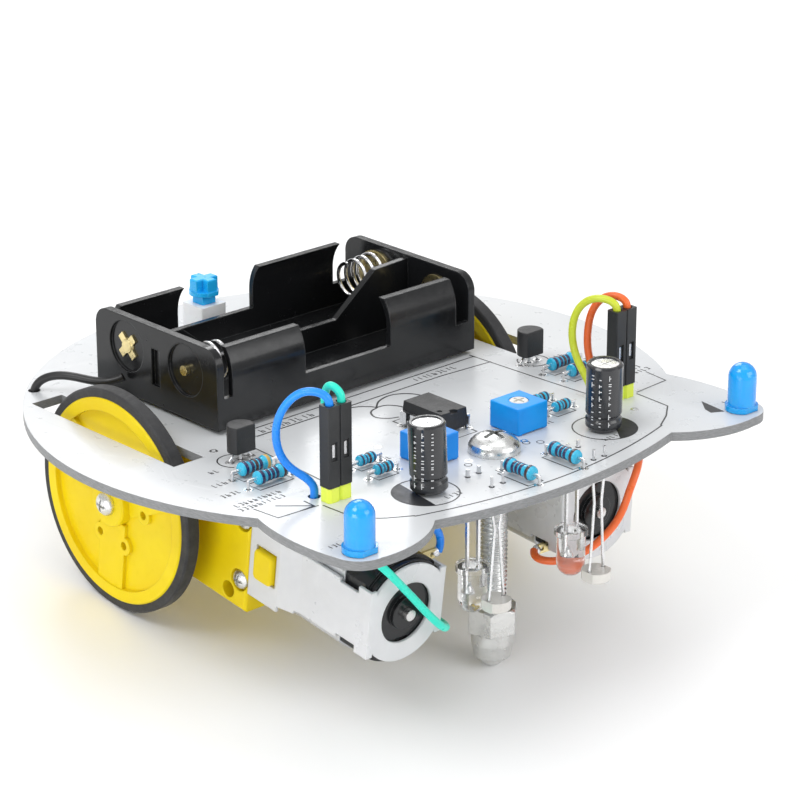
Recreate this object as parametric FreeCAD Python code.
import FreeCAD, Part
import math, os

os.makedirs("parts", exist_ok=True)

# Two-wheel line-following robot car.  Units are millimetres.
#
# Everything is first laid out in the board frame: x forward, y left, z up, with z = 0 on
# the top face of the circuit board.  The finished shapes are then pitched nose-up and moved
# so that the ground is z = 0 and the origin is the ground point under the wheel axle.

RIGHT, LEFT = -1, 1             # the sign of y on each side of the car
SIDES = (RIGHT, LEFT)
SIDE_NAME = {RIGHT: "right", LEFT: "left"}
ENDS = (-1, 1)                  # the two ends, faces or signs of anything symmetrical

# ------------------------------------------------------------------ driving dimensions
BOARD_T = 1.6                   # circuit board thickness
LEAD_END_Z = -2.4               # lower end of the leads that pass through the board
PITCH = 2.54                    # lead pitch
AXLE_X, AXLE_Z = 10.4, -13.1    # wheel axle in the board frame
NOSE_UP = 7.35                  # board pitch, degrees, standing on wheels and cap nut

# Each gear motor's seat: where its axle crosses its centre plane (x, |y|, z), its nose-down
# lean in degrees, and how far its nose is turned outwards in degrees.
MOTOR_SEAT = {RIGHT: (AXLE_X, 25.2, AXLE_Z, 7.3, 0.0),
              LEFT: (9.9, 23.2, -13.15, 2.2, -3.3)}

TYRE_R = 20.2                   # rolling radius of the wheel
TYRE_W = 2.8
RIM_R = 18.6
WHEEL_IN, WHEEL_OUT = 13.7, 17.1    # wheel disc faces, outwards from the motor's centre plane
SLOT_X = (-9.2, 30.4)           # wheel slots in the board: rear and front ends
SLOT_W = 6.4
SLOT_Y = {RIGHT: 37.9, LEFT: 35.4}  # |y| of each slot's inner edge

CASTER_X = 61.2                 # caster screw, on the centre line
CASTER_TIP_Z = -40.0            # lowest point of the cap nut
CASTER_TIP_R = 2.6              # radius of its rounded tip

V = FreeCAD.Vector
PARTS = {}                      # node name: its shapes, in the board frame
LEADS = []                      # (x, y) of every lead hole and its solder joint
WIRE_HOLES = []                 # (x, y) of every motor wire hole


# ------------------------------------------------------------------ helpers
def put(node, shape):
    PARTS.setdefault(node, []).append(shape)


def put_lead(x, y, shape):
    """Add a component lead and its hole in the board."""
    LEADS.append((x, y))
    put("component_leads", shape)


def box(x0, x1, y0, y1, z0, z1):
    """Box between two faces on each axis, each pair given in either order."""
    (x0, x1), (y0, y1), (z0, z1) = sorted((x0, x1)), sorted((y0, y1)), sorted((z0, z1))
    return Part.makeBox(x1 - x0, y1 - y0, z1 - z0, V(x0, y0, z0))


def block(x, y, half_x, half_y, z0, z1):
    """Box centred on (x, y)."""
    return box(x - half_x, x + half_x, y - half_y, y + half_y, z0, z1)


def xbar(r, x0, x1, y=0, z=0):
    """Cylinder along X; xbar, ybar and zbar all run from their first end to their second."""
    return Part.makeCylinder(r, abs(x1 - x0), V(x0, y, z), V(x1 - x0, 0, 0))


def ybar(r, x, z, y0, y1):
    return Part.makeCylinder(r, abs(y1 - y0), V(x, y0, z), V(0, y1 - y0, 0))


def zbar(r, x, y, z0, z1):
    return Part.makeCylinder(r, abs(z1 - z0), V(x, y, z0), V(0, 0, z1 - z0))


def prism(points, extrusion):
    wire = Part.makePolygon([V(*p) for p in points] + [V(*points[0])])
    return Part.Face(wire).extrude(V(*extrusion))


def fuse(shapes):
    result = shapes[0]
    if len(shapes) > 1:
        result = result.multiFuse(shapes[1:])
    return result.removeSplitter()


def lathe(profile, origin, axis):
    """Turn an (r, h) profile about the local +Z, then aim it along axis at origin."""
    wire = Part.makePolygon([V(r, 0, h) for r, h in profile + profile[:1]])
    turned = Part.Face(wire).revolve(V(0, 0, 0), V(0, 0, 1), 360)
    turned.Placement = FreeCAD.Placement(V(*origin), FreeCAD.Rotation(V(0, 0, 1), V(*axis)))
    return turned


def dome(r, base, rise, steps=8):
    """(r, h) points of a dome, from its rim at height base up to its pole on the axis."""
    angles = [math.pi / 2 * i / steps for i in range(steps)]
    points = [(r * math.cos(a), base + rise * math.sin(a)) for a in angles]
    return points + [(0, base + rise)]


def rod(points, r):
    """Round wire bent at its corners."""
    pieces = []
    for a, b in zip(points, points[1:]):
        run = V(*b) - V(*a)
        pieces.append(Part.makeCylinder(r, run.Length, V(*a), run))
    for p in points[1:-1]:
        pieces.append(Part.makeSphere(r, V(*p)))
    return fuse(pieces)


def tube(points, r):
    """Round wire along a smooth curve through the points."""
    curve = Part.BSplineCurve()
    curve.interpolate([V(*p) for p in points])
    start = curve.tangent(curve.FirstParameter)[0]
    section = Part.Wire([Part.makeCircle(r, V(*points[0]), start)])
    swept = Part.Wire([curve.toShape()]).makePipeShell([section], True, True)
    if swept.Volume < 0:        # the sweep can come out inside out
        swept.reverse()
    return swept


def cross_recess(top, axis, r, depth, width):
    """Cutter for the cross recess of a screw head; axis points out of the head at top."""
    cutter = block(0, 0, r, width / 2, -depth, 0.4).fuse(block(0, 0, width / 2, r, -depth, 0.4))
    cutter.Placement = FreeCAD.Placement(V(*top), FreeCAD.Rotation(V(0, 0, 1), V(*axis)))
    return cutter


def pan_screw(seat, head_r, head_h, shank_r, length, cross_r, cross_w):
    """Domed screw pointing along -Y, with seat the point under its head."""
    profile = [(0, -length), (shank_r * 0.55, -length), (shank_r, -length + shank_r),
               (shank_r, 0), (head_r, 0)] + dome(head_r, 0.22 * head_h, 0.78 * head_h)
    screw = lathe(profile, seat, (0, 1, 0))
    top = (seat[0], seat[1] + head_h, seat[2])
    return screw.cut(cross_recess(top, (0, 1, 0), cross_r, head_h * 0.45, cross_w))


# ------------------------------------------------------------------ battery holder
# Two bays side by side, their cells lying along y.
HOLDER_X = 8.15                 # holder centre
HOLDER_W, HOLDER_L, HOLDER_H = 33.6, 60.4, 14.4
HOLDER_Z = 0.8                  # underside, on the foam tape
WALL, END_T, FLOOR = 1.1, 1.5, 1.3
DIVIDER = 1.2
BAY_OFFSET = (HOLDER_W - 2 * WALL - DIVIDER) / 4 + DIVIDER / 2   # bay axis from the centre
BAY_R = (HOLDER_W / 2 - WALL - DIVIDER / 2) / 2
BAY_Z = HOLDER_Z + FLOOR + BAY_R
END_Y = HOLDER_L / 2            # outer face of each end plate
PLATE_Y = END_Y - END_T         # inner face of each end plate
LOW_WALL_H = 5.6

# y ranges of the curled parts of the rear (-1) and front (1) walls
CURLS = {-1: ((-26.8, -12.6), (5.0, 24.6)),
         1: ((-26.8, -10.4), (9.6, 25.6))}
# top edge of the divider: y, height above the holder's underside
DIVIDER_TOP = [(-PLATE_Y, 13.0), (-24.5, 13.0), (-16.0, 6.0), (11.0, 6.0),
               (20.5, 13.4), (PLATE_Y, 13.8)]


def end_plate(end):
    """End plate with rounded top corners."""
    top = HOLDER_Z + HOLDER_H
    y0 = -END_Y if end < 0 else PLATE_Y
    plate = box(HOLDER_X - HOLDER_W / 2, HOLDER_X + HOLDER_W / 2, y0, y0 + END_T, HOLDER_Z, top)
    corners = [e for e in plate.Edges
               if e.BoundBox.YLength > END_T - 0.01 and e.BoundBox.ZMin > top - 0.01]
    return plate.makeFillet(3.2, corners)


def wall_curl(front, y0, y1):
    """Tall part of a long wall that curls over the cell; front is 1 or -1."""
    bay_x = HOLDER_X + front * BAY_OFFSET
    outer = HOLDER_X + front * HOLDER_W / 2
    top = HOLDER_Z + HOLDER_H
    curl = ybar(BAY_R + WALL, bay_x, BAY_Z, y0, y1)
    curl = curl.fuse(box(bay_x, outer, y0, y1, HOLDER_Z, BAY_Z))
    curl = curl.cut(ybar(BAY_R, bay_x, BAY_Z, y0 - 1, y1 + 1))
    curl = curl.cut(box(bay_x, outer + front, y0 - 1, y1 + 1, top - 0.35, top + 5))
    # keep the outer half, then open it over the cell and straighten its lower inside face
    curl = curl.common(box(bay_x, outer, y0, y1, HOLDER_Z, top + 5))
    curl = curl.cut(box(bay_x - front * 3, bay_x + front * 4.6, y0 - 1, y1 + 1, BAY_Z, top + 5))
    return curl.cut(box(bay_x, outer - front * WALL, y0 - 1, y1 + 1, HOLDER_Z - 1, BAY_Z))


def battery_holder():
    pieces = [box(HOLDER_X - HOLDER_W / 2, HOLDER_X + HOLDER_W / 2, -END_Y, END_Y,
                  HOLDER_Z, HOLDER_Z + FLOOR)]
    pieces += [end_plate(end) for end in ENDS]
    for front in ENDS:
        outer = HOLDER_X + front * HOLDER_W / 2
        pieces.append(box(outer, outer - front * WALL, -PLATE_Y, PLATE_Y,
                          HOLDER_Z, HOLDER_Z + LOW_WALL_H))
        pieces += [wall_curl(front, y0, y1) for y0, y1 in CURLS[front]]
    outline = [(-PLATE_Y, 0)] + DIVIDER_TOP + [(PLATE_Y, 0)]
    pieces.append(prism([(HOLDER_X - DIVIDER / 2, y, HOLDER_Z + h) for y, h in outline],
                        (DIVIDER, 0, 0)))
    holder = fuse(pieces)
    # outer faces of the end plates: shallow round recesses, rivet holes and a slot
    for end in ENDS:
        face = end * END_Y
        for front in ENDS:
            bay_x = HOLDER_X + front * BAY_OFFSET
            holder = holder.cut(ybar(4.7, bay_x, BAY_Z, face, face - end * 0.5))
            holder = holder.cut(ybar(0.95, bay_x, BAY_Z, face + end, face - end * 3))
        holder = holder.cut(box(HOLDER_X - 1.1, HOLDER_X + 1.1, face, face - end * 0.7,
                                HOLDER_Z + 3.6, HOLDER_Z + 10.4))
    return holder


def battery_spring(x, plate_y, inward):
    """Tapering coil of round wire standing off the end plate."""
    turns, steps = 3.75, 16
    points = []
    for i in range(int(turns * steps) + 1):
        turn = i / steps
        a = 2 * math.pi * turn
        # the first three quarters of a turn lie almost flat against the plate
        h = 0.80 + 0.45 * turn if turn < 0.75 else 1.1375 + 1.95 * (turn - 0.75)
        r = 3.95 - 0.20 * turn
        points.append((x + r * math.cos(a), plate_y + inward * h,
                       BAY_Z + inward * r * math.sin(a)))
    return tube(points, 0.35)


def spring_contact(x, end):
    """Round plate and rivet behind a spring."""
    plate_y = end * PLATE_Y
    plate = lathe([(0, 0), (4.3, 0), (4.3, 0.35), (0, 0.35)], (x, plate_y, BAY_Z), (0, -end, 0))
    return fuse([plate, ybar(0.9, x, BAY_Z, plate_y + end * 1.9, plate_y)])


def flat_contact(x, end):
    """Flat contact with a raised centre, held by a rivet with four petals outside."""
    plate_y = end * PLATE_Y
    rivet_y = end * (END_Y - 0.5)
    plate = lathe([(0, 0), (3.6, 0), (3.6, 0.35), (1.9, 0.35), (1.3, 0.95), (0, 0.95)],
                  (x, plate_y, BAY_Z), (0, -end, 0))
    rivet = ybar(0.9, x, BAY_Z, plate_y + end * 1.55, plate_y)
    cap = lathe([(0, 0), (1.5, 0), (1.2, 0.55), (0, 0.35)], (x, rivet_y, BAY_Z), (0, end, 0))
    petals = []
    for i in range(4):
        petal = box(0.5, 2.6, -0.75, 0.75, 0, 0.35)
        outward = FreeCAD.Rotation(V(0, 0, 1), V(0, end, 0))
        about_rivet = FreeCAD.Rotation(V(0, 0, 1), 45 + 90 * i)
        petal.Placement = FreeCAD.Placement(V(x, rivet_y, BAY_Z), outward.multiply(about_rivet))
        petals.append(petal)
    return fuse([plate, rivet, cap] + petals)


def build_battery_holder():
    put("battery_holder", battery_holder())
    put("mounting_tape", block(HOLDER_X, 0, 12, 26, 0, HOLDER_Z))
    rear_x, front_x = HOLDER_X - BAY_OFFSET, HOLDER_X + BAY_OFFSET
    # the rear bay has its spring at the left end, the front bay at the right end
    for x, end in ((rear_x, LEFT), (front_x, RIGHT)):
        put("battery_springs", battery_spring(x, end * PLATE_Y, -end))
        put("battery_contacts", spring_contact(x, end))
    for x, end in ((rear_x, RIGHT), (front_x, LEFT)):
        put("battery_contacts", flat_contact(x, end))


# ------------------------------------------------------------------ switch
SWITCH_X, SWITCH_Y = -16.4, 0.6
SWITCH_W, SWITCH_H = 5.8, 6.3
STEM_HALF = 1.55                # half width of the square well for the stem
STEM_GAP = 0.06
BUTTON_Z, BUTTON_TOP = 8.8, 11.2


def switch_block(half_x, half_y, z0, z1):
    return block(SWITCH_X, SWITCH_Y, half_x, half_y, z0, z1)


def switch_body():
    body = switch_block(SWITCH_W / 2, SWITCH_W / 2, 0, SWITCH_H)
    body = body.makeFillet(0.35, [e for e in body.Edges if e.BoundBox.ZLength > 3])
    return body.cut(switch_block(STEM_HALF, STEM_HALF, 1.2, SWITCH_H + 1)).removeSplitter()


def switch_plunger():
    """Square stem, round flange and a button with a cross section like a plus sign."""
    half = STEM_HALF - STEM_GAP
    flange_z = BUTTON_Z - 0.8
    stem = switch_block(half, half, 3.0, flange_z)
    flange = zbar(2.75, SWITCH_X, SWITCH_Y, flange_z, BUTTON_Z)
    flange = flange.fuse(switch_block(2.75, 1.2, flange_z, BUTTON_Z))
    button = switch_block(2.5, 1.0, BUTTON_Z, BUTTON_TOP)
    button = button.fuse(switch_block(1.0, 2.5, BUTTON_Z, BUTTON_TOP)).removeSplitter()
    rim = [e for e in button.Edges if e.BoundBox.ZMin > BUTTON_TOP - 0.01]
    return fuse([stem, flange, button.makeFillet(0.3, rim)])


def build_switch():
    put("switch_body", switch_body())
    put("switch_plunger", switch_plunger())
    for dx in (-2.0, 0, 2.0):
        for dy in (-1.6, 1.6):
            x, y = SWITCH_X + dx, SWITCH_Y + dy
            put_lead(x, y, zbar(0.3, x, y, LEAD_END_Z, 0))


# ------------------------------------------------------------------ comparator chip
# 8-pin dual in line package, on the centre line
CHIP_X = 46.6
CHIP_L, CHIP_W = 9.4, 6.4
CHIP_Z0, CHIP_Z1 = 0.7, 4.2
CHIP_MID_Z = (CHIP_Z0 + CHIP_Z1) / 2


def chip_body():
    x, half = -CHIP_L / 2, CHIP_W / 2
    body = prism([(x, -half + 0.25, CHIP_Z0), (x, -half, CHIP_MID_Z), (x, -half + 0.3, CHIP_Z1),
                  (x, half - 0.3, CHIP_Z1), (x, half, CHIP_MID_Z), (x, half - 0.25, CHIP_Z0)],
                 (CHIP_L, 0, 0))
    body.translate(V(CHIP_X, 0, 0))
    # half-round notch in the front end, and the round mark beside it
    front = CHIP_X + CHIP_L / 2
    body = body.cut(zbar(0.8, front, 0, CHIP_Z1 - 0.5, CHIP_Z1 + 0.5))
    return body.cut(zbar(0.45, front - 1.5, -1.9, CHIP_Z1 - 0.2, CHIP_Z1 + 0.8))


def chip_pin(x, side):
    y = side * 1.5 * PITCH
    top = CHIP_MID_Z + 0.13
    pin = box(x - 0.75, x + 0.75, side * CHIP_W / 2, y + side * 0.13, CHIP_MID_Z - 0.13, top)
    pin = pin.fuse(block(x, y, 0.75, 0.13, 0.55, top))
    pin = pin.fuse(block(x, y, 0.24, 0.13, LEAD_END_Z, 0.6))
    LEADS.append((x, y))
    return pin.removeSplitter()


def build_chip():
    for i in range(4):
        for side in SIDES:
            put("comparator_pins", chip_pin(CHIP_X + (i - 1.5) * PITCH, side))
    put("comparator_chip", chip_body())


# ------------------------------------------------------------------ trimmer potentiometers
TRIM_X, TRIM_Y = 56.4, 10.5
TRIM_L, TRIM_W, TRIM_H = 7.0, 7.1, 4.9


def trimpot_body(y):
    body = block(TRIM_X, y, TRIM_L / 2, TRIM_W / 2, 0.25, TRIM_H)
    body = body.makeFillet(0.25, [e for e in body.Edges if e.BoundBox.ZLength > 3
                                  or e.BoundBox.ZMin > TRIM_H - 0.01])
    for dx in (-2.9, 2.9):
        for dy in (-2.9, 2.9):
            body = body.fuse(block(TRIM_X + dx, y + dy, 0.45, 0.45, 0, 0.4))
    body = body.cut(zbar(1.75, TRIM_X, y, TRIM_H - 1.2, TRIM_H + 0.8))
    return body.cut(zbar(0.65, TRIM_X, y, 1.0, 5.0)).removeSplitter()


def trimpot_rotor(y):
    """Round rotor with a cross slot in its top and a thin shaft below."""
    base, top = TRIM_H - 1.18, TRIM_H + 0.02
    rotor = lathe([(0, base), (1.69, base), (1.69, TRIM_H - 0.15), (1.5, top), (0, top)],
                  (TRIM_X, y, 0), (0, 0, 1))
    rotor = rotor.fuse(zbar(0.59, TRIM_X, y, 1.2, TRIM_H - 1.1))
    for half_x, half_y in ((1.25, 0.22), (0.22, 1.25)):
        rotor = rotor.cut(block(TRIM_X, y, half_x, half_y, TRIM_H - 0.65, TRIM_H + 1))
    return rotor.removeSplitter()


def build_trimpots():
    for side in SIDES:
        centre = side * TRIM_Y
        put("trimpot_bodies", trimpot_body(centre))
        put("trimpot_rotor_" + SIDE_NAME[side], trimpot_rotor(centre))
        for dx, dy in ((-PITCH, 0), (0, side * PITCH), (PITCH, 0)):
            x, y = TRIM_X + dx, centre + dy
            put_lead(x, y, zbar(0.3, x, y, LEAD_END_Z, 0.25))


# ------------------------------------------------------------------ electrolytic capacitors
CAP_X, CAP_Y = 67.0, 20.4
CAP_R, CAP_Z0, CAP_TOP = 3.15, 0.5, 12.4
CAP_TILT = {RIGHT: 2.2, LEFT: -3.0}     # degrees off upright


def capacitor_sleeve():
    """Plastic sleeve with a groove near its base and an open top."""
    r, z0, top = CAP_R, CAP_Z0, CAP_TOP
    inner = r - 0.72
    return lathe([(0, z0), (r - 0.35, z0), (r, z0 + 0.5), (r, z0 + 1.7),
                  (r - 0.28, z0 + 2.1), (r - 0.28, z0 + 2.5), (r, z0 + 2.9),
                  (r, top - 0.35), (r - 0.3, top), (inner, top),
                  (inner, z0 + 0.45), (0, z0 + 0.45)], (0, 0, 0), (0, 0, 1))


def capacitor_can():
    """Metal can inside the sleeve, scored with a cross on top."""
    r, z0, top = CAP_R - 0.72, CAP_Z0 + 0.45, CAP_TOP - 0.22
    can = lathe([(0, z0), (r, z0), (r, top), (0, top)], (0, 0, 0), (0, 0, 1))
    for half_x, half_y in ((1.9, 0.09), (0.09, 1.9)):
        can = can.cut(block(0, 0, half_x, half_y, CAP_TOP - 0.45, CAP_TOP + 1))
    return can


def build_capacitors():
    offsets = (-1.25, 1.25)
    for side in SIDES:
        cy = side * CAP_Y
        tilt = FreeCAD.Placement(V(CAP_X, cy, 0),
                                 FreeCAD.Rotation(V(-side * 0.7, -0.8, 0), CAP_TILT[side]))
        sleeve, can = capacitor_sleeve(), capacitor_can()
        for dy in offsets:
            sleeve = sleeve.cut(zbar(0.32, 0, dy, 0, 1.3))
            can = can.cut(zbar(0.32, 0, dy, 0, 1.6))
        for shape in (sleeve, can):
            shape.Placement = tilt.multiply(shape.Placement)
        put("capacitor_sleeves", sleeve)
        put("capacitor_cans", can)
        # each lead is upright through the board, then follows the tilt into the can
        for dy in offsets:
            points = [(CAP_X, cy + dy, LEAD_END_Z)]
            points += [tuple(tilt.multVec(V(0, dy, z))) for z in (0.2, 1.5)]
            put_lead(CAP_X, cy + dy, rod(points, 0.28))


# ------------------------------------------------------------------ transistors
TRANSISTOR_X, TRANSISTOR_Y = 35.6, 34.0
TRANSISTOR_Z, TRANSISTOR_H = 1.7, 4.7


def transistor_body(x, y):
    """Round body with a flat on its front face."""
    z0 = TRANSISTOR_Z
    body = zbar(2.4, 0, 0, z0, z0 + TRANSISTOR_H).common(box(-3, 1.35, -3, 3, z0, z0 + 5))
    rim = [e for e in body.Edges if e.BoundBox.ZMin > z0 + TRANSISTOR_H - 0.01]
    body = body.makeFillet(0.2, rim)
    body.translate(V(x, y, 0))
    return body


def build_transistors():
    for side in SIDES:
        cy = side * TRANSISTOR_Y
        put("transistors", transistor_body(TRANSISTOR_X, cy))
        x = TRANSISTOR_X - 0.3
        for i in (-1, 0, 1):    # the leads spread from the body to wider holes
            y_top, y_hole = cy + i * 1.27, cy + i * 2.2
            put_lead(x, y_hole, rod([(x, y_hole, LEAD_END_Z), (x, y_hole, 0.35),
                                     (x, y_top, 1.2), (x, y_top, TRANSISTOR_Z)], 0.25))


# ------------------------------------------------------------------ resistors
ALONG_X, ALONG_Y = (1, 0, 0), (0, 1, 0)
# x, |y|, direction, body length, body radius, distance between lead holes
RESISTORS = [(41.6, 36.2, ALONG_Y, 6.3, 1.2, 9.6),
             (46.2, 36.6, ALONG_Y, 6.3, 1.2, 9.6),
             (51.6, 20.4, ALONG_Y, 3.6, 0.95, 6.6),
             (56.4, 20.9, ALONG_Y, 3.6, 0.95, 6.6),
             (72.7, 5.2, ALONG_X, 6.3, 1.25, 8.8)]


def build_resistor(x, y, direction, length, r, span):
    """Axial resistor lying on the board, its ends thicker than its middle."""
    z = r + 0.25
    half = length / 2
    bottom = [(0, -half), (r * 0.55, -half), (r * 0.9, -half + 0.15), (r, -half + 0.45),
              (r, -half + 1.25), (r * 0.84, -half + 1.65)]
    top = [(radius, -h) for radius, h in reversed(bottom)]
    put("resistors", lathe(bottom + top, (x, y, z), direction))
    for end in ENDS:
        hole_x, hole_y = [c + end * d * span / 2 for c, d in zip((x, y), direction)]
        body_x, body_y = [c + end * d * half for c, d in zip((x, y), direction)]
        put_lead(hole_x, hole_y, rod([(hole_x, hole_y, LEAD_END_Z), (hole_x, hole_y, z),
                                      (body_x, body_y, z)], 0.26))


def build_resistors():
    for side in SIDES:
        for x, y, direction, length, r, span in RESISTORS:
            build_resistor(x, side * y, direction, length, r, span)


# ------------------------------------------------------------------ lights and sensors
INDICATOR_X, INDICATOR_Y = 77.0, 44.6   # indicator lights, on the ears
LED_R, LED_FLANGE_R = 2.5, 2.9
LED_LEADS = (-PITCH / 2, PITCH / 2)
SENSOR_LEDS = [(66.7, -10.2, -16.2), (69.9, 10.0, -14.6)]
# x, y, z, lead spread at the lower bend
PHOTORESISTORS = [(72.4, -10.2, -20.4, 0.3), (75.6, 10.4, -20.4, 0.5)]


def led(position, up, base, slot_end):
    """Domed light; up is 1 or -1, base and slot_end are measured that way from position."""
    profile = [(0, base), (LED_FLANGE_R, base), (LED_FLANGE_R, base + 1.0), (LED_R, base + 1.0)]
    lens = lathe(profile + dome(LED_R, base + 6.1, LED_R), (0, 0, 0), (0, 0, up))
    # flat on the flange, then the slots for the leads
    lens = lens.cut(box(LED_R, 4, -4, 4, up * (base - 0.1), up * (base + 1.0)))
    for dy in LED_LEADS:
        lens = lens.cut(block(0, dy, 0.27, 0.27, up * (base - 0.1), up * slot_end))
    lens.translate(V(*position))
    return lens


def put_led_leads(x, y, z0, z1):
    for dy in LED_LEADS:
        put_lead(x, y + dy, block(x, y + dy, 0.25, 0.25, z0, z1))


def build_lights():
    for side in SIDES:
        x, y = INDICATOR_X, side * INDICATOR_Y
        put("indicator_leds", led((x, y, 0), up=1, base=0.1, slot_end=4.2))
        put_led_leads(x, y, LEAD_END_Z, 4.1)
    for x, y, z in SENSOR_LEDS:     # hanging below the board, lens down
        put("sensor_leds", led((x, y, z), up=-1, base=0, slot_end=4.0))
        put_led_leads(x, y, z - 3.9, 1.3)


def build_photoresistors():
    """Flat-sided discs hanging below the board on long leads."""
    for x, y, z, spread in PHOTORESISTORS:
        disc = lathe([(0, 0), (2.55, 0), (2.55, -1.6), (2.3, -1.9), (0, -1.9)],
                     (0, 0, 0), (0, 0, 1))
        disc = disc.common(box(-3, 3, -2.2, 2.2, -3, 1))
        for dy in (-1.7, 1.7):
            disc = disc.cut(zbar(0.38, 0, dy, -1.3, 1.0))
            hole_y = y + dy * 0.75
            put_lead(x, hole_y, rod([(x, hole_y, 1.8), (x, hole_y, -4.0),
                                     (x, y + dy * spread, -8.0), (x, y + dy, z - 1.0)], 0.25))
        disc.translate(V(x, y, z))
        put("photoresistors", disc)


# ------------------------------------------------------------------ motor plugs
PLUG_X, PLUG_Y = 58.7, 33.3     # centre of each pair of single-pin plugs
PIN_OFFSET = PITCH / 2
HEADER_H, HOUSING_TOP = 2.5, 16.6


def pin_header(y):
    """Square base of one header pin, its upright corners cut off."""
    half_x, half_y, chamfer = PIN_OFFSET, 1.26, 0.45
    header = block(PLUG_X, y, half_x, half_y, 0, HEADER_H)
    for dx in ENDS:
        for dy in ENDS:
            x_face, y_face = PLUG_X + dx * half_x, y + dy * half_y
            header = header.cut(prism([(x_face, y_face, -1),
                                       (x_face - dx * chamfer, y_face, -1),
                                       (x_face, y_face - dy * chamfer, -1)], (0, 0, 5)))
    return header.cut(block(PLUG_X, y, 0.33, 0.33, -1, 4))


def plug_housing(y):
    housing = block(PLUG_X, y, 1.25, 1.22, HEADER_H + 0.05, HOUSING_TOP)
    housing = housing.makeFillet(0.2, [e for e in housing.Edges if e.BoundBox.ZLength > 8])
    housing = housing.cut(block(PLUG_X, y, 0.42, 0.42, 2, 9.0))
    housing = housing.cut(zbar(0.86, PLUG_X, y, 10.6, 18.6))
    # window in the front face, and the chamber behind it
    housing = housing.cut(box(PLUG_X + 0.95, PLUG_X + 2, y - 0.55, y + 0.55, 7.2, 10.4))
    return housing.cut(box(PLUG_X + 0.2, PLUG_X + 1.0, y - 0.4, y + 0.4, 7.6, 10.0))


def build_plugs():
    for side in SIDES:
        for offset in (-PIN_OFFSET, PIN_OFFSET):
            y = side * PLUG_Y + offset
            put("pin_headers", pin_header(y))
            LEADS.append((PLUG_X, y))
            put("header_pins", block(PLUG_X, y, 0.32, 0.32, LEAD_END_Z, 8.2))
            put("plug_housings", plug_housing(y))
            put("plug_sockets",
                box(PLUG_X + 0.45, PLUG_X + 0.9, y - 0.35, y + 0.35, 7.7, 9.9))


# ------------------------------------------------------------------ caster
THREAD_ROOT, THREAD_R, THREAD_PITCH = 2.15, 2.47, 0.8
NUT_FLATS, NUT_ROUND_R, NUT_BORE = 8.0, 4.62, 2.52
CAP_NUT_TOP = CASTER_TIP_Z + 11.4


def caster_lathe(profile):
    return lathe(profile, (CASTER_X, 0, 0), (0, 0, 1))


def caster_screw():
    """Domed screw; its thread is a stack of ridges."""
    profile = [(0, -36.2), (1.7, -36.2), (THREAD_ROOT, -35.7)]
    z = -35.5
    while z < -2.2:
        profile += [(THREAD_ROOT, z), (THREAD_R, z + 0.4)]
        z += THREAD_PITCH
    profile += [(THREAD_ROOT, z), (THREAD_R, z + 0.3), (THREAD_R, 0), (4.5, 0)]
    screw = caster_lathe(profile + dome(4.5, 0.6, 2.6))
    return screw.cut(cross_recess((CASTER_X, 0, 3.2), (0, 0, 1), 2.3, 1.5, 0.95))


def hexagon(z0, z1, turn):
    """Hexagonal bar on the caster's axis, turned by some degrees."""
    r = NUT_FLATS / math.sqrt(3)
    angles = [math.radians(60 * i + turn) for i in range(6)]
    return prism([(CASTER_X + r * math.cos(a), r * math.sin(a), z0) for a in angles],
                 (0, 0, z1 - z0))


def caster_nut():
    r = NUT_ROUND_R
    nut = hexagon(-5.6, -BOARD_T, 10)
    nut = nut.common(caster_lathe([(0, -5.6), (4.1, -5.6), (r, -5.2), (r, -2.0),
                                   (4.1, -BOARD_T), (0, -BOARD_T)]))
    return nut.cut(zbar(NUT_BORE, CASTER_X, 0, -7, 0))


def caster_cap_nut():
    r, top = NUT_ROUND_R, CAP_NUT_TOP
    hexed = hexagon(top - 4.6, top, 12)
    hexed = hexed.common(caster_lathe([(0, top - 4.6), (r, top - 4.6), (r, top - 0.45),
                                       (4.1, top), (0, top)]))
    profile = [(0, top - 4.4), (3.75, top - 4.4), (3.7, top - 6.8), (3.2, top - 9.4)]
    # rounded tip: part of a ball, from 10 degrees below its equator to its pole
    for i in range(8):
        a = math.radians(10 + 10 * i)
        profile.append((CASTER_TIP_R * math.cos(a),
                        CASTER_TIP_Z + CASTER_TIP_R - CASTER_TIP_R * math.sin(a)))
    profile.append((0, CASTER_TIP_Z))
    nut = fuse([hexed, caster_lathe(profile)])
    return nut.cut(zbar(NUT_BORE, CASTER_X, 0, top - 7.9, top + 1.1))


# ------------------------------------------------------------------ gears
# The gear motor has its own frame: axle at the origin, +X towards the motor, +Y outwards.
MODULE = 0.4
OUT_TEETH = 36                          # output gear
RED_TEETH, RED_PINION_TEETH = 24, 10    # reduction gear
CROWN_TEETH, CROWN_PINION_TEETH = 40, 9
MOTOR_TEETH = 8
RED_X = MODULE * (OUT_TEETH + RED_PINION_TEETH) / 2.0               # reduction gear pin
CROWN_X = RED_X + MODULE * (RED_TEETH + CROWN_PINION_TEETH) / 2.0   # crown gear pin


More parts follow.
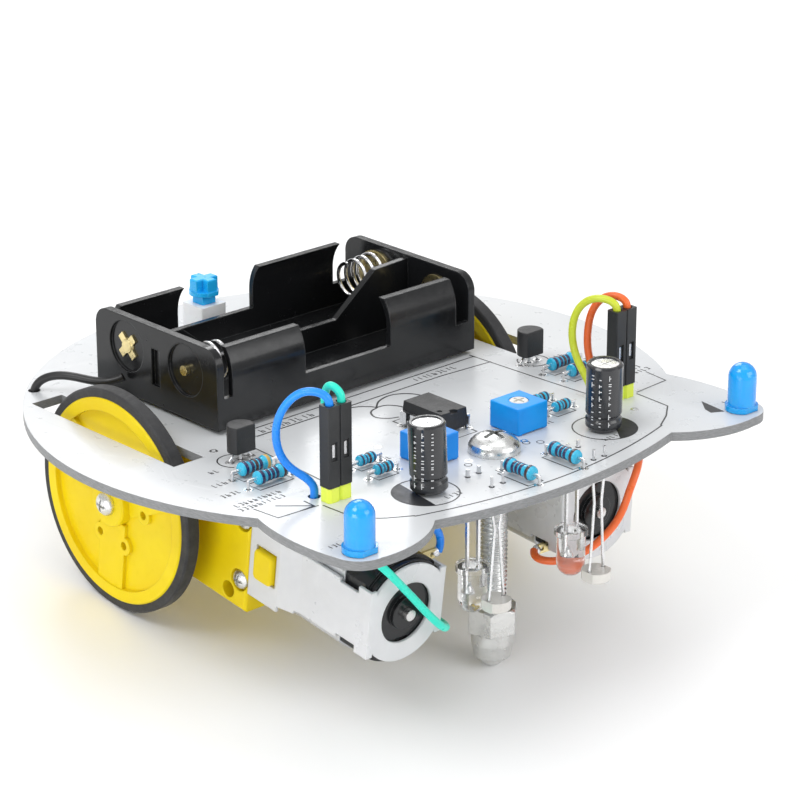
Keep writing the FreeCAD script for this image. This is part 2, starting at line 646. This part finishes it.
def gear_points(teeth, phase, addendum, dedendum, thinning):
    """Outline of an involute gear, its teeth thinned for backlash; phase is in degrees."""
    pitch_r = MODULE * teeth / 2.0
    pressure = math.radians(20)
    base_r = pitch_r * math.cos(pressure)
    tip_r, root_r = pitch_r + addendum, pitch_r - dedendum
    start_r = max(base_r, root_r)
    half_angle = math.pi / (2 * teeth) - thinning / (2 * pitch_r)

    def involute(angle):
        return math.tan(angle) - angle

    flank = []                  # radius, half the tooth's angle at that radius
    for i in range(4):
        r = start_r + (tip_r - start_r) * i / 3.0
        angle = math.acos(min(1.0, base_r / r))
        flank.append((r, half_angle + involute(pressure) - involute(angle)))
    if base_r > root_r:
        flank.insert(0, (root_r, flank[0][1]))
    polar = []
    for k in range(teeth):
        centre = math.radians(phase) + 2 * math.pi * k / teeth
        polar += [(r, centre - half) for r, half in flank]
        polar += [(r, centre + half) for r, half in reversed(flank)]
    return [(r * math.cos(a), r * math.sin(a)) for r, a in polar]


def spur(teeth, phase, y0, y1, addendum, thinning):
    points = gear_points(teeth, phase, addendum, 1.2 * MODULE, thinning)
    return prism([(x, y0, z) for x, z in points], (0, y1 - y0, 0))


GEARBOX_L, GEARBOX_H, GEARBOX_W = 27.6, 22.5, 18.8     # length is ahead of the axle
GEARBOX_HALF = GEARBOX_W / 2
GEARBOX_WALL = 1.5
SCREW_POSTS = [(25.5, -5.8), (25.5, 5.8), (4.6, -9.3)]  # x, z
THROUGH_HOLES = [(22.9, -8.75), (22.9, 8.75)]           # x, z
PIN_R = 0.75
PIN_HOLE_R = 0.8
# x and the y range of the two gear pins: the reduction gear's pin stands in the cover
# only, the crown gear's pin spans both halves
GEAR_PINS = [(RED_X, -1.2, GEARBOX_HALF - 1.0),
             (CROWN_X, -GEARBOX_HALF + 1.0, GEARBOX_HALF - 1.0)]
SHAFT_R, SHAFT_FLAT, SHAFT_END = 2.7, 1.85, 17.4


def output_gear():
    """Output gear and the shaft it turns, with two flats at both ends."""
    pieces = [spur(OUT_TEETH, 0, -0.6, 2.2, 0.24, 0.13),
              ybar(SHAFT_R, 0, 0, -GEARBOX_HALF - 0.6, GEARBOX_HALF + 0.6),
              ybar(3.6, 0, 0, -1.1, 2.5)]
    for end in ENDS:
        stub = ybar(SHAFT_R, 0, 0, end * (GEARBOX_HALF + 0.5), end * SHAFT_END)
        pieces.append(stub.common(box(-4, 4, end * (GEARBOX_HALF + 0.4), end * SHAFT_END,
                                      -SHAFT_FLAT, SHAFT_FLAT)))
    gear = fuse(pieces)
    for end in ENDS:
        gear = gear.cut(ybar(0.9, 0, 0, end * SHAFT_END, end * (SHAFT_END - 7)))
    return gear


def reduction_gear():
    gear = fuse([spur(RED_TEETH, 0, 2.9, 5.4, 0.24, 0.13),
                 spur(RED_PINION_TEETH, 18, -0.9, 2.95, 0.36, 0.11)])
    gear = gear.cut(ybar(PIN_HOLE_R, 0, 0, -9, 9))
    gear.translate(V(RED_X, 0, 0))
    return gear


def crown_tooth(k, r_in, r_out):
    """Tooth lofted between trapezoids at its inner and outer radius."""
    slope = math.tan(math.radians(20))
    pitch_y, root_y, tip_y = -1.6, -2.3, -1.34
    sections = []
    for r in (r_in, r_out):
        width = math.pi * r / CROWN_TEETH - 0.12
        root = width / 2 + slope * (pitch_y - root_y)
        tip = width / 2 - slope * (tip_y - pitch_y)
        corners = [V(r, root_y, -root), V(r, tip_y, -tip), V(r, tip_y, tip), V(r, root_y, root)]
        sections.append(Part.makePolygon(corners + corners[:1]))
    tooth = Part.makeLoft(sections, True, True)
    tooth.rotate(V(0, 0, 0), V(0, 1, 0), -360.0 * k / CROWN_TEETH)
    return tooth


def crown_gear():
    """Disc with teeth on its outboard face, and the pinion on the same pin."""
    r_in, r_out = 7.4, 8.45
    disc = lathe([(0, -4.0), (r_out, -4.0), (r_out, -2.25), (0, -2.25)], (0, 0, 0), (0, 1, 0))
    teeth = [crown_tooth(k, r_in, r_out) for k in range(CROWN_TEETH)]
    gear = fuse([disc, spur(CROWN_PINION_TEETH, 0, -2.3, 5.9, 0.34, 0.11)] + teeth)
    gear = gear.cut(ybar(PIN_HOLE_R, 0, 0, -9, 9))
    gear.translate(V(CROWN_X, 0, 0))
    return gear


# ------------------------------------------------------------------ gearbox housing
def gearbox_block(r, x1, y0, y1):
    """Block from the axle to x1 with a half-round end about the axle."""
    y0, y1 = sorted((y0, y1))
    return ybar(r, 0, 0, y0, y1).fuse(box(0, x1, y0, y1, -r, r)).removeSplitter()


def strap_hook(side):
    root_y, height = side * 8.5, 2.0
    tip_y = side * (8.5 + height)
    hook = prism([(29.8, root_y, -2.9), (34.4, root_y, -2.9),
                  (34.4, root_y, 2.9), (29.8, root_y, 2.9)], (0, side * height, 0))
    hook = hook.makeFillet(1.0, [e for e in hook.Edges if e.BoundBox.YLength > 1])
    return hook.makeFillet(0.5, [e for e in hook.Edges if abs(e.BoundBox.YMin - tip_y) < 1e-6
                                 and e.BoundBox.YLength < 1e-6])


def gearbox_half(side):
    """side 1 is the cover (outboard), -1 the base (inboard)."""
    w, wall = GEARBOX_HALF, GEARBOX_WALL
    y0, y1 = sorted((0, side * w))
    shell = gearbox_block(GEARBOX_H / 2, GEARBOX_L, y0, y1)
    shell = shell.makeFillet(0.6, [e for e in shell.Edges
                                   if abs(abs(e.BoundBox.YMin) - w) < 1e-6
                                   and e.BoundBox.YLength < 1e-6])
    shell = shell.cut(gearbox_block(GEARBOX_H / 2 - wall, GEARBOX_L - wall,
                                    -side * 0.01, side * (w - wall)))
    added = [ybar(1.7, x, z, y0, y1) for x, z in SCREW_POSTS]
    added += [ybar(2.15, x, z, y0, y1) for x, z in THROUGH_HOLES]
    # collars that carry the axle and the gear pins
    added.append(ybar(4.4, 0, 0, side * w, side * (w + 0.5)))
    if side > 0:
        added.append(ybar(3.9, 0, 0, 2.6, w - 0.5))
        added.append(ybar(1.5, RED_X, 0, 5.8, w))
        added.append(ybar(1.5, CROWN_X, 0, 6.2, w))
    else:
        added.append(ybar(4.2, 0, 0, -w + 0.5, -1.2))
        added.append(ybar(1.5, CROWN_X, 0, -w + 0.5, -4.6))
    # round post ahead of the axle, on the outer face
    added.append(ybar(2.0, 11.0, 0, side * w, side * (w + 1.6)))
    # tongue beside the motor can, with a hook for the strap
    added.append(box(GEARBOX_L - 0.3, GEARBOX_L + 7.0, side * 7.62, side * 8.9, -7.4, 7.4))
    added.append(strap_hook(side))
    half = fuse([shell] + added)

    half = half.cut(ybar(2.76, 0, 0, -20, 20))
    for x, z in THROUGH_HOLES:
        half = half.cut(ybar(1.5, x, z, -20, 20))
    for x, z in SCREW_POSTS:
        half = half.cut(ybar(0.95, x, z, -w + 1.2, 13.2))
        if side > 0:
            half = half.cut(ybar(2.05, x, z, w - 0.9, w + 3.1))
    for x, pin_y0, pin_y1 in GEAR_PINS:
        half = half.cut(ybar(PIN_R, x, 0, pin_y0, pin_y1))
    # opening for the motor's nose and pinion
    nose_x = GEARBOX_L - wall - 1
    return half.cut(xbar(3.15, nose_x, nose_x + 4)).removeSplitter()


# ------------------------------------------------------------------ motor
CAN_X0, CAN_X1 = 27.8, 49.3     # ends of the can
END_CAP_X = 56.0                # outer face of the end cap
SHAFT_HOLE_R = 1.05
CORE_X, CORE_L = 33.0, 9.5      # armature core
TERMINAL_X, TERMINAL_Z = 52.4, 6.3
TERMINAL_TIP = -9.6             # y of the terminals' inboard tips


def can_section(r, flat, x0, x1):
    """Round bar along X with flats on its inboard and outboard sides."""
    return xbar(r, x0, x1).common(box(x0, x1, -flat, flat, -r - 1, r + 1))


def motor_can():
    can = can_section(10.05, 7.55, CAN_X0, CAN_X1)
    can = can.makeFillet(0.9, [e for e in can.Edges if e.BoundBox.XMax < CAN_X0 + 1e-6])
    can = can.cut(can_section(9.45, 6.95, CAN_X0 + 0.7, CAN_X1 + 1))
    can = can.fuse(xbar(3.05, CAN_X0 - 1.4, CAN_X0 + 1.8))
    can = can.cut(xbar(SHAFT_HOLE_R, CAN_X0 - 3, CAN_X0 + 5))
    # windows in the round sides
    for up in ENDS:
        can = can.cut(box(CAN_X0 + 12, CAN_X0 + 15.5, -3.2, 3.2, up * 8, up * 12))
    return can.removeSplitter()


def armature_pole(i):
    """Curved shoe on a straight leg."""
    x1 = CORE_X + CORE_L
    y, z = 12 * math.cos(math.radians(50)), 12 * math.sin(math.radians(50))
    shoe = xbar(6.2, CORE_X, x1).cut(xbar(5.2, CORE_X - 1, x1 + 1.5))
    shoe = shoe.common(prism([(CORE_X, 0, 0), (CORE_X, y, z), (CORE_X, 14, 0), (CORE_X, y, -z)],
                             (CORE_L, 0, 0)))
    pole = shoe.fuse(box(CORE_X, x1, 0, 5.6, -1.1, 1.1))
    pole.rotate(V(0, 0, 0), V(1, 0, 0), 120 * i)
    return pole


def armature_coil(i):
    coil = box(CORE_X - 1, CORE_X + CORE_L + 1, 3.0, 4.9, -2.6, 2.6)
    coil = coil.makeFillet(0.6, [e for e in coil.Edges if e.BoundBox.YLength > 1])
    coil.rotate(V(0, 0, 0), V(1, 0, 0), 120 * i)
    return coil


def armature():
    """Motor shaft with its pinion, commutator, iron core and windings."""
    shaft = xbar(1.0, 22.6, 57.9)
    teeth = gear_points(MOTOR_TEETH, 22.5 + 90, 0.36, 1.1 * MODULE, 0.11)
    pinion = prism([(22.7, y, z) for y, z in teeth], (2.4, 0, 0))
    commutator = xbar(2.2, 45.8, 49.8)
    core = xbar(3.0, CORE_X, CORE_X + CORE_L)
    return fuse([shaft, pinion, commutator, core] + [armature_pole(i) for i in range(3)]
                + [armature_coil(i) for i in range(3)])


def motor_end_cap():
    cap = can_section(9.75, 7.3, CAN_X1, END_CAP_X - 1.2)
    cap = cap.fuse(can_section(9.2, 6.9, END_CAP_X - 1.3, END_CAP_X))
    cap = cap.fuse(can_section(9.4, 6.9, CAN_X1 - 1.6, CAN_X1 + 0.1))
    cap = cap.fuse(xbar(3.0, END_CAP_X - 0.1, END_CAP_X + 0.8))
    cap = cap.cut(xbar(5.2, CAN_X1 - 3, CAN_X1 + 2.4))
    cap = cap.cut(xbar(SHAFT_HOLE_R, CAN_X1, CAN_X1 + 12))
    # a shallow pocket in the end face and a terminal slot, above and below the shaft
    for up in ENDS:
        cap = cap.cut(box(END_CAP_X - 0.5, END_CAP_X + 1, -1.4, 1.4, up * 5, up * 8))
        cap = cap.cut(box(TERMINAL_X - 0.3, TERMINAL_X + 0.3, -9.0, -5.6,
                          up * (TERMINAL_Z - 1.0), up * (TERMINAL_Z + 1.0)))
    return cap.removeSplitter()


def motor_magnets():
    """Two curved magnets inside the can."""
    ring = xbar(9.43, 33.2, 45.2).cut(xbar(6.6, 33.0, 46.0))
    return ring.common(box(33.2, 45.2, -5.6, 5.6, -10, 10)).Solids


def motor_terminal(up):
    tab = box(TERMINAL_X - 0.25, TERMINAL_X + 0.25, TERMINAL_TIP, -5.7,
              up * (TERMINAL_Z - 0.9), up * (TERMINAL_Z + 0.9))
    return tab.cut(xbar(0.4, 51, 54, -8.7, up * TERMINAL_Z))


def motor_strap():
    """Strap hooked on both sides of the gearbox, with a ring over the motor's end."""
    t, half_h = 0.55, 6.2
    hook_y, motor_y = 8.95, 7.75        # inner faces beside the hooks and the motor
    end_x = END_CAP_X + 0.15
    pieces = []
    for d in ENDS:
        pieces.append(box(GEARBOX_L + 0.35, 35.4, d * hook_y, d * (hook_y + t), -7.2, 7.2))
        # taper in towards the motor, then run to its end; x, |y|
        outline = [(35.4, hook_y), (35.4, hook_y + t), (39.7, motor_y + t),
                   (end_x + t, motor_y + t), (end_x + t, 7.0), (end_x, 7.0),
                   (end_x, motor_y), (39.7, motor_y)]
        pieces.append(prism([(x, d * y, -half_h) for x, y in outline], (0, 0, 2 * half_h)))
    reach = motor_y + t
    pieces.append(xbar(8.9, end_x, end_x + t).common(
        box(end_x, end_x + t, -reach, reach, -9.5, 9.5)))
    strap = fuse(pieces)
    strap = strap.cut(xbar(5.5, end_x - 1, end_x + 2))
    for d in ENDS:
        strap = strap.cut(box(29.55, 34.65, d * (hook_y - 1), d * (hook_y + 2), -3.15, 3.15))
        # narrower beside the motor
        for up in ENDS:
            for x0, x1, z in ((38.7, 49.0, 5.6), (49.0, 53.6, 4.9)):
                strap = strap.cut(box(x0, x1, d * 7.6, d * 12, up * z, up * 9))
    return strap.removeSplitter()


# ------------------------------------------------------------------ wheel
HUB_IN, HUB_OUT = GEARBOX_HALF + 0.7, 18.3
BORE_END = SHAFT_END + 0.02


def wheel():
    y_in, y_out = WHEEL_IN, WHEEL_OUT
    web_y = y_in + 0.8
    hub = lathe([(0, HUB_IN), (4.3, HUB_IN), (4.3, HUB_OUT - 0.3), (4.0, HUB_OUT),
                 (0, HUB_OUT)], (0, 0, 0), (0, 1, 0))
    rim = lathe([(16.3, y_in), (RIM_R - 0.25, y_in), (RIM_R, y_in + 0.25),
                 (RIM_R, y_out - 0.25), (RIM_R - 0.25, y_out), (16.3, y_out)],
                (0, 0, 0), (0, 1, 0))
    pieces = [hub, rim, ybar(16.6, 0, 0, web_y, y_out - 1.0)]
    # three broad raised lands, each with a round boss on both sides
    boss_points = []
    for angle in (150, 270, 390):
        land = box(3.5, 16.6, y_in + 0.45, y_out - 0.3, -3.4, 3.4)
        land.rotate(V(0, 0, 0), V(0, 1, 0), -angle)
        pieces.append(land)
        for offset in (-24, 24):
            a = math.radians(angle + offset)
            x, z = 8.1 * math.cos(a), 8.1 * math.sin(a)
            boss_points.append((x, z))
            pieces.append(ybar(1.7, x, z, web_y, y_out - 0.3))
    disc = fuse(pieces)
    for x, z in boss_points:
        disc = disc.cut(ybar(0.75, x, z, y_out - 1.8, y_out + 1.2))
    # double-flat bore, and the screw hole through its closed end
    bore = ybar(SHAFT_R + 0.02, 0, 0, HUB_IN - 1, BORE_END)
    flat = SHAFT_FLAT + 0.02
    disc = disc.cut(bore.common(box(-4, 4, 0, BORE_END, -flat, flat)))
    return disc.cut(ybar(1.15, 0, 0, 15, 20)).removeSplitter()


def tyre():
    y0 = (WHEEL_IN + WHEEL_OUT - TYRE_W) / 2
    y1 = y0 + TYRE_W
    c = 0.3                     # edge chamfer
    return lathe([(RIM_R, y0), (TYRE_R - c, y0), (TYRE_R, y0 + c), (TYRE_R, y1 - c),
                  (TYRE_R - c, y1), (RIM_R, y1)], (0, 0, 0), (0, 1, 0))


# ------------------------------------------------------------------ gear motors on the board
def to_board(shape, side):
    """Move a shape from the gear motor's own frame to the board frame."""
    x, y, z, lean, turn = MOTOR_SEAT[side]
    shape = shape.copy()
    shape.rotate(V(0, 0, 0), V(0, 1, 0), lean)
    shape.rotate(V(0, 0, 0), V(0, 0, 1), turn)
    if side == RIGHT:
        shape = shape.mirror(V(0, 0, 0), V(0, 1, 0)).copy()
    shape.translate(V(x, side * y, z))
    return shape


def point_to_board(side, x, y, z):
    """The same move for one point."""
    seat_x, seat_y, seat_z, lean, turn = MOTOR_SEAT[side]
    p, q = math.radians(lean), math.radians(turn)
    x, z = x * math.cos(p) + z * math.sin(p), -x * math.sin(p) + z * math.cos(p)
    x, y = x * math.cos(q) - y * math.sin(q), x * math.sin(q) + y * math.cos(q)
    return (seat_x + x, side * (seat_y + y), seat_z + z)


def build_gear_motors():
    wheel_screw = pan_screw((0, HUB_OUT, 0), head_r=2.1, head_h=1.6, shank_r=0.88,
                            length=6.9, cross_r=1.15, cross_w=0.42)
    sided = {"gearbox_cover": gearbox_half(1), "gearbox_base": gearbox_half(-1),
             "output_gear": output_gear(), "reduction_gear": reduction_gear(),
             "crown_gear": crown_gear(), "motor_can": motor_can(), "armature": armature(),
             "motor_end_cap": motor_end_cap(), "wheel": wheel(), "tyre": tyre(),
             "wheel_screw": wheel_screw}
    shared = {"motor_straps": [motor_strap()],
              "motor_terminals": [motor_terminal(up) for up in ENDS],
              "motor_magnets": motor_magnets(),
              "gearbox_screws": [pan_screw((x, GEARBOX_HALF - 0.9, z), head_r=1.85,
                                           head_h=1.4, shank_r=0.92, length=14.0,
                                           cross_r=1.05, cross_w=0.4)
                                 for x, z in SCREW_POSTS],
              "gear_pins": [ybar(PIN_R, x, 0, y0, y1) for x, y0, y1 in GEAR_PINS]}
    for side in SIDES:
        for name, shape in sided.items():
            put(name + "_" + SIDE_NAME[side], to_board(shape, side))
        for name, shapes in shared.items():
            for shape in shapes:
                put(name, to_board(shape, side))


def build_motor_tape():
    """Foam wedges that fill the space between each leaning gearbox and the board."""
    for side in SIDES:
        wedge = to_board(box(-2.0, 22.0, -7.6, 7.6, GEARBOX_H / 2, GEARBOX_H / 2 + 12), side)
        wedge = wedge.common(box(-40, 80, -60, 60, -40, -BOARD_T))
        put("mounting_tape", wedge.removeSplitter())


# ------------------------------------------------------------------ wires
WIRE_R = 0.68
BATTERY_LEAD_HOLE = (-14.2, -40.15)

# Each wire runs from a plug housing over in a loop, down through the board and on to a motor
# terminal (1 upper, -1 lower), stopping a gap short of its tip.
WIRES = [
    dict(color="blue", side=RIGHT, plug_y=-PLUG_Y - PIN_OFFSET, hole=(55.7, -35.4),
         over=[(PLUG_X - 0.1, -PLUG_Y - 1.5, 17.6), (56.6, -36.5, 18.8), (53.1, -39.1, 16.0),
               (51.7, -39.9, 10.2), (53.1, -37.9, 4.8)],
         under=[(57.0, -33.3, -3.0), (58.8, -30.2, -3.1), (61.8, -24.4, -5.0),
                (63.4, -18.6, -7.2), (63.5, -15.4, -9.4), (63.4, -14.5, -11.6)],
         terminal=1, gap=0.85),
    dict(color="turquoise", side=RIGHT, plug_y=-PLUG_Y + PIN_OFFSET, hole=(55.6, -31.0),
         over=[(PLUG_X - 0.2, -32.1, 17.8), (57.0, -32.7, 18.9), (55.5, -32.6, 17.3),
               (54.9, -31.6, 12.0), (55.1, -31.0, 5.0)],
         under=[(56.4, -31.3, -4.7), (58.2, -32.4, -5.7), (61.5, -34.2, -5.8),
                (65.6, -35.4, -5.8), (69.3, -34.0, -7.8), (69.9, -30.4, -11.8),
                (69.8, -26.2, -16.6), (69.8, -22.6, -20.8), (69.2, -19.4, -23.8),
                (66.6, -16.3, -25.6)],
         terminal=-1, gap=0.75),
    dict(color="yellow", side=LEFT, plug_y=PLUG_Y - PIN_OFFSET, hole=(55.9, 29.0),
         over=[(PLUG_X - 0.2, PLUG_Y - 1.5, 17.4), (56.0, 30.5, 18.4), (52.5, 29.1, 16.2),
               (51.4, 28.5, 12.2), (53.0, 28.7, 6.0)],
         under=[(59.4, 24.6, -3.1), (62.8, 18.6, -3.5), (62.6, 12.6, -4.2),
                (62.1, 9.6, -6.2)],
         terminal=1, gap=0.85),
    dict(color="orange", side=LEFT, plug_y=PLUG_Y + PIN_OFFSET, hole=(54.9, 31.8),
         over=[(PLUG_X - 0.2, PLUG_Y + 1.1, 17.4), (56.4, 33.5, 18.3), (53.3, 32.2, 16.0),
               (52.3, 31.5, 11.4), (53.2, 31.5, 5.4)],
         under=[(60.5, 33.2, -5.2), (66.5, 30.2, -7.0), (70.0, 25.6, -9.0),
                (70.3, 23.8, -11.7), (70.2, 22.8, -14.0), (70.1, 21.2, -16.3),
                (69.8, 18.7, -18.4), (69.1, 15.8, -20.2), (67.6, 12.4, -21.5),
                (65.2, 9.6, -22.1), (63.0, 8.9, -22.0)],
         terminal=-1, gap=0.85),
]


def build_wire(color, side, plug_y, hole, over, under, terminal, gap):
    WIRE_HOLES.append(hole)
    points = [(PLUG_X, plug_y, z) for z in (10.9, 13.6, 16.2)] + over
    points += [hole + (1.2,), hole + (-2.9,)] + under
    points.append(point_to_board(side, TERMINAL_X, TERMINAL_TIP - gap, terminal * TERMINAL_Z))
    put("wire_" + color, tube(points, WIRE_R))


def battery_lead():
    return tube([(HOLDER_X - BAY_OFFSET, -END_Y - 0.9, 4.2), (-2.5, -33.5, 3.2),
                 (-8.5, -37.2, 3.6), (-13.2, -39.6, 1.8), (-14.4, -40.2, -2.4)], 0.75)


# ------------------------------------------------------------------ circuit board
REAR_ARC_X, REAR_ARC_R = 24.7, 57.4     # centre and radius of the rounded rear edge
EAR_ROOT_X = 56.3                       # where that arc meets the ears
EAR_ROOT_Y = math.sqrt(REAR_ARC_R ** 2 - (EAR_ROOT_X - REAR_ARC_X) ** 2)
# arcs round the right ear, from its outer root to its inner root: start, middle, end (x, y)
EAR_ARCS = [((EAR_ROOT_X, -EAR_ROOT_Y), (66.5, -49.7), (76.6, -48.9)),
            ((76.6, -48.9), (79.9, -47.2), (81.1, -43.6)),
            ((81.1, -43.6), (80.5, -35.4), (76.1, -27.7))]
FRONT_ARC = ((76.1, -27.7), (80.2, 0), (76.1, 27.7))


def board_outline():
    arcs = [((EAR_ROOT_X, EAR_ROOT_Y), (REAR_ARC_X - REAR_ARC_R, 0), (EAR_ROOT_X, -EAR_ROOT_Y))]
    arcs += EAR_ARCS + [FRONT_ARC]
    # the left ear mirrors the right one, so its arcs run the other way
    for arc in reversed(EAR_ARCS):
        arcs.append([(x, -y) for x, y in reversed(arc)])
    edges = [Part.Arc(*[V(x, y, 0) for x, y in arc]).toShape() for arc in arcs]
    return Part.Face(Part.Wire(Part.__sortEdges__(edges)))


def hole_cutter(r, x, y):
    return zbar(r, x, y, -3, 2)


def circuit_board():
    board = board_outline().extrude(V(0, 0, -BOARD_T))
    for side in SIDES:
        inner = SLOT_Y[side]
        board = board.cut(box(*SLOT_X, side * inner, side * (inner + SLOT_W), -5, 5))
    holes = [hole_cutter(0.5, x, y) for x, y in LEADS]
    holes += [hole_cutter(1.05, x, y) for x, y in WIRE_HOLES]
    holes += [hole_cutter(1.1, *BATTERY_LEAD_HOLE), hole_cutter(2.6, CASTER_X, 0)]
    return board.cut(Part.makeCompound(holes))


def build_solder_joints():
    """Cones under the board, cut back by the leads that pass through them."""
    height = 0.65
    pins = PARTS["component_leads"] + PARTS["comparator_pins"] + PARTS["header_pins"]
    cutter = Part.makeCompound(pins)
    for x, y in LEADS:
        cone = Part.makeCone(0.62, 0.95, height, V(x, y, -BOARD_T - height), V(0, 0, 1))
        put("solder_joints", cone.cut(cutter))


# ------------------------------------------------------------------ build and export
def export_parts():
    """Pitch the car nose-up, set it on the ground and write one file per node."""
    axle_to_origin = FreeCAD.Placement(V(-AXLE_X, 0, -AXLE_Z), FreeCAD.Rotation())
    pitch = FreeCAD.Rotation(V(0, 1, 0), -NOSE_UP)
    to_ground = FreeCAD.Placement(V(0, 0, TYRE_R), pitch).multiply(axle_to_origin)
    for node, shapes in PARTS.items():
        shape = shapes[0] if len(shapes) == 1 else Part.makeCompound(shapes)
        shape = shape.copy()
        shape.Placement = to_ground.multiply(shape.Placement)
        shape.exportStep("parts/%s.step" % node)


build_battery_holder()
build_switch()
build_chip()
build_trimpots()
build_capacitors()
build_transistors()
build_resistors()
build_lights()
build_photoresistors()
build_plugs()
put("caster_screw", caster_screw())
put("caster_nut", caster_nut())
put("caster_cap_nut", caster_cap_nut())
build_gear_motors()
build_motor_tape()
for wire in WIRES:
    build_wire(**wire)
put("battery_leads", battery_lead())
# the board and the solder come last: they need every lead and wire hole
put("circuit_board", circuit_board())
build_solder_joints()
export_parts()
